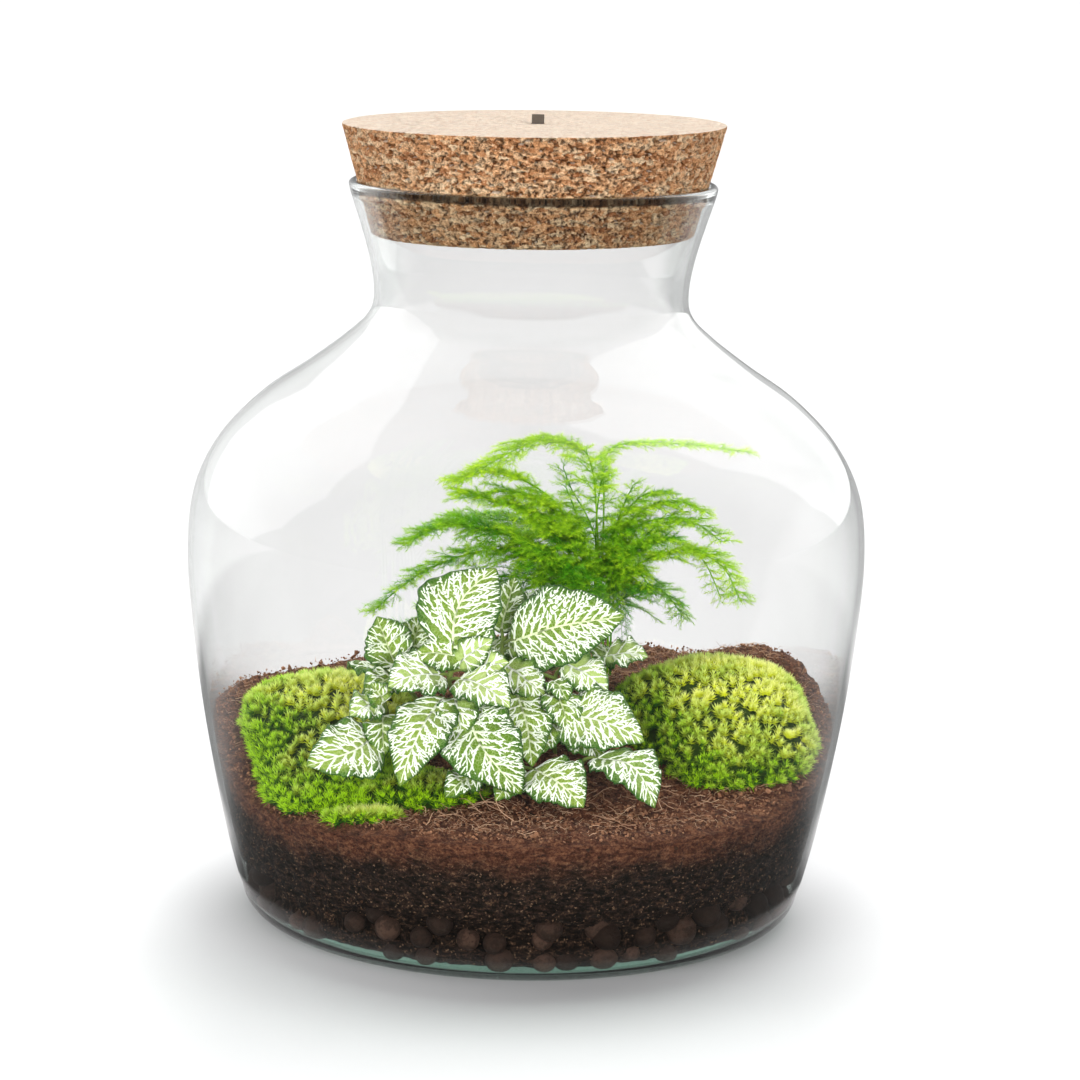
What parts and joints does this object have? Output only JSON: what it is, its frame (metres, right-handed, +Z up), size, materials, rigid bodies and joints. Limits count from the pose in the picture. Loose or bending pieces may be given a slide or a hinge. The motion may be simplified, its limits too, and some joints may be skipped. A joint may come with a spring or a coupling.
{
  "type": "glass plant terrarium",
  "caption": "Round-shouldered glass jar with a tapered cork stopper, planted with white-veined nerve plant, asparagus fern and star moss on soil over clay pebbles.",
  "frame": {"origin": "centre of the jar's round base, on the surface it stands on", "axes": "+Z up through the mouth and the stopper; -Y towards the viewer, where the soil is lowest; +X to the viewer's right"},
  "size_m": [0.256, 0.256, 0.304],
  "materials": {
    "clear_glass": "clear, smooth",
    "pressed_cork": "pressed granules, sanded",
    "dark_leather": "plain",
    "clay_pebbles": "fired, damp",
    "soil": "loose, damp",
    "moss": "soft, living",
    "nerve_leaf": "living leaf, slight sheen",
    "fern_green": "living, matte"
  },
  "bodies": {
    "root": {"glass_jar": "clear_glass", "cork_stopper": "pressed_cork", "lid_pull_tab": "dark_leather", "clay_pebble_bed": "clay_pebbles", "potting_soil": "soil", "moss_cushion_right": "moss", "moss_cushion_left": "moss", "moss_tuft_front": "moss", "nerve_stem_crown": "nerve_leaf", "nerve_stem_middle": "nerve_leaf", "nerve_stem_left": "nerve_leaf", "nerve_stem_left_rear": "nerve_leaf", "nerve_stem_right": "nerve_leaf", "nerve_stem_right_rear": "nerve_leaf", "nerve_stem_front": "nerve_leaf", "nerve_stem_right_front": "nerve_leaf", "fern_frond_top_left": "fern_green", "fern_frond_top_right": "fern_green", "fern_frond_mid_left": "fern_green", "fern_frond_low_left": "fern_green", "fern_frond_rear_left": "fern_green", "fern_frond_right": "fern_green", "fern_frond_low_right": "fern_green", "fern_frond_front": "fern_green", "fern_frond_rear_up": "fern_green", "fern_frond_short_right": "fern_green"}
  },
  "joints": []
}
